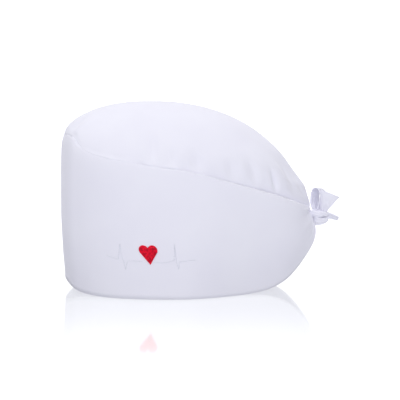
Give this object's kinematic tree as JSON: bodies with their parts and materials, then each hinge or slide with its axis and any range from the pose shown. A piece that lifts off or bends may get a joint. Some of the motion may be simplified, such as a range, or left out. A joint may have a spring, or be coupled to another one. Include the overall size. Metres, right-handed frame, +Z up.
{
  "type": "scrub cap",
  "caption": "White cotton scrub cap with a full top, a high band that ties at the back, and a small red embroidered heart on one side.",
  "frame": {"origin": "middle of the bottom of the whole cap's bounding box, at the level of the hem that it stands on", "axes": "+Z up through the top of the crown, +Y towards the tie at the back of the head, -Y towards the forehead, +X towards the side with the embroidered heart"},
  "size_m": [0.1698, 0.2616, 0.1745],
  "materials": {
    "cotton": "matte white woven cotton",
    "red_thread": "red satin stitch embroidery"
  },
  "bodies": {
    "root": {"band": "cotton", "crown": "cotton", "embroidered_heart": "red_thread", "tie_knot": "cotton", "tie_upper_loop": "cotton", "tie_upper_end": "cotton", "tie_lower_loop": "cotton", "tie_lower_end": "cotton"}
  },
  "joints": []
}
